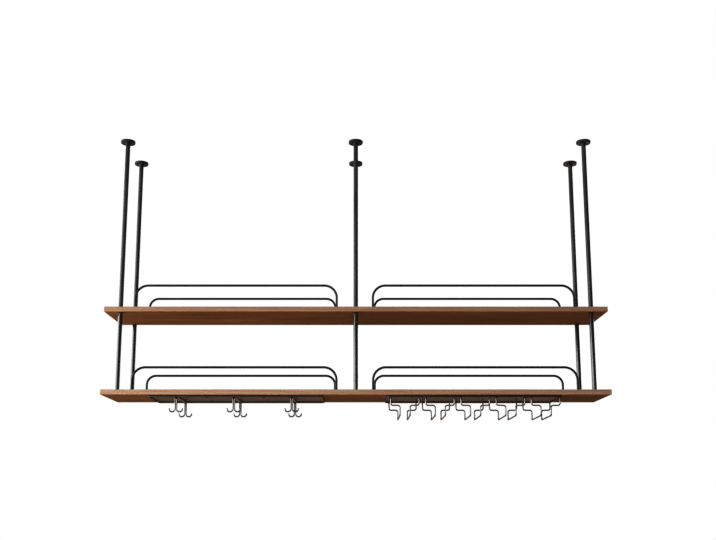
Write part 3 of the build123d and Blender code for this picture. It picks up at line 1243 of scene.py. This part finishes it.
@dataclass(frozen=True)
class Studio:
    """A white backdrop, a pale floor and soft light from the left."""

    floor_height: float = -2.40
    floor_reach: float = 16.0
    contrast: float = 0.7
    sky: tuple[tuple[float, Colour], ...] = (
        (0.00, (0.34, 0.26, 0.19)), (0.32, (0.28, 0.20, 0.14)), (0.41, (0.62, 0.42, 0.31)),
        (0.47, (0.62, 0.42, 0.31)), (0.50, (0.10, 0.10, 0.10)), (0.65, (0.12, 0.12, 0.12)),
        (0.80, (0.50, 0.50, 0.50)), (1.00, (1.10, 1.10, 1.10)),
    )
    boxes: tuple[Softbox, ...] = (
        Softbox("key_light", (-3.0, -1.5, -0.65), (0.0, -1.5, -0.65), (7.4, 2.4), 318.0),
        Softbox("window_light", (-1.8, -6.0, -0.85), (-1.8, 0.0, -0.85), (2.4, 2.0), 24.0),
        Softbox("front_light", (-1.3, -2.6, -2.5), (-0.3, 0.0, -0.7), (3.0, 2.0), 24.0, mirrored=False),
        Softbox("low_light", (-1.6, -0.5, -2.9), (-0.6, 0.0, -0.9), (3.5, 2.0), 28.0, mirrored=False),
        Softbox("back_light", (2.6, 3.6, 0.2), (0.0, 0.0, -0.7), (2.4, 2.0), 60.0),
    )

    def build(self) -> None:
        """Set up the backdrop, the floor and the lights."""
        view = bpy.context.scene.view_settings
        view.view_transform = "Standard"
        view.gamma = self.contrast
        self._build_backdrop()
        self._build_floor()
        for box in self.boxes:
            box.build()

    def _build_backdrop(self) -> None:
        """A white backdrop to look at, whose light on the rack is bright overhead and dim at the horizon.

        The light from below is warm, and most of it comes from just under the horizon.
        """
        world = bpy.data.worlds.new("backdrop")
        world.use_nodes = True
        bench = Bench(world.node_tree)
        _, _, rise = bench.axes(bench.node("ShaderNodeTexCoord", {}, {}, "Generated"))
        sky = bench.ramp(rise * 0.5 + 0.5, self.sky)
        seen = bench.node("ShaderNodeLightPath", {}, {}, "Is Camera Ray")
        light = bench.node("ShaderNodeBackground", {}, {"Color": bench.mixed(seen, sky, WHITE)})
        bench.node("ShaderNodeOutputWorld", {}, {"Surface": light})
        bpy.context.scene.world = world

    def _build_floor(self) -> None:
        """A pale floor under the rack, which only the camera sees and which fades into the backdrop."""
        reach, z = self.floor_reach, self.floor_height
        corners = [(x * reach, y * reach, z) for x, y in ((-1, -1), (1, -1), (1, 1), (-1, 1))]
        mesh = bpy.data.meshes.new("floor")
        mesh.from_pydata(corners, [], [(0, 1, 2, 3)])
        mesh.materials.append(FadingFloor("pale_floor").material())
        floor = put_up("floor", mesh)
        floor.visible_diffuse = floor.visible_glossy = False


ROWS = ("front", "rear")
COLUMNS = ("left", "centre", "right")
BAYS = ("left", "right")
TIERS = ("upper", "lower")
RAIL_BENDS = {"front": 45.0 * MM, "rear": 34.0 * MM}


def names(start: str, firsts: Sequence[str], seconds: Sequence[str]) -> tuple[str, ...]:
    """Node names that end in every pair of two words."""
    return tuple(f"{start}_{first}_{second}" for first in firsts for second in seconds)


def sub_assemblies() -> list[SubAssembly]:
    """List the parts of the rack.

    Returns:
        Every sub-assembly, from the ceiling down.
    """
    rods = {tier: names(f"{tier}_rod", ROWS, COLUMNS) for tier in TIERS}
    rails = {tier: names(f"{tier}_rail", ROWS, BAYS) for tier in TIERS}
    rail_screws = [f"{tier}_rail_screws" for tier in TIERS]
    pan_screws = "mug_rack_screws", "glass_rack_screws"
    studs = "flange_studs", "upper_board_studs"
    return [
        *map(CeilingFlange, names("ceiling_flange", ROWS, COLUMNS)),
        *(HangingRod(rod, TUBE_COATS[tier]) for tier in TIERS for rod in rods[tier]),
        Board("upper_board", UPPER_WALNUT, rods["upper"], rails["upper"]),
        Board("lower_board", LOWER_WALNUT, rods["lower"], rails["lower"], pan_screws, rod_mouth=17.0 * MM),
        *(
            GuardRail(f"{tier}_rail_{row}_{bay}", RAIL_BENDS[row])
            for tier in TIERS for row in ROWS for bay in BAYS
        ),
        WireRack("mug_rack", "mug_hook_wire", MugHookWire, 3, WELD_SEED),
        WireRack("glass_rack", "glass_wire", GlassWire, 5, WELD_SEED + 1),
        Fasteners(BLACK_STEEL, (*rail_screws, *pan_screws, *studs)),
        Fasteners(BROWN_STEEL, ("lower_board_bolts",)),
    ]


def main() -> None:
    """Build the studio and the rack."""
    logging.basicConfig(level=logging.INFO, format="%(message)s")
    Viewpoint().build()
    Studio().build()
    for part in sub_assemblies():
        part.build()


if __name__ == "__main__":
    main()
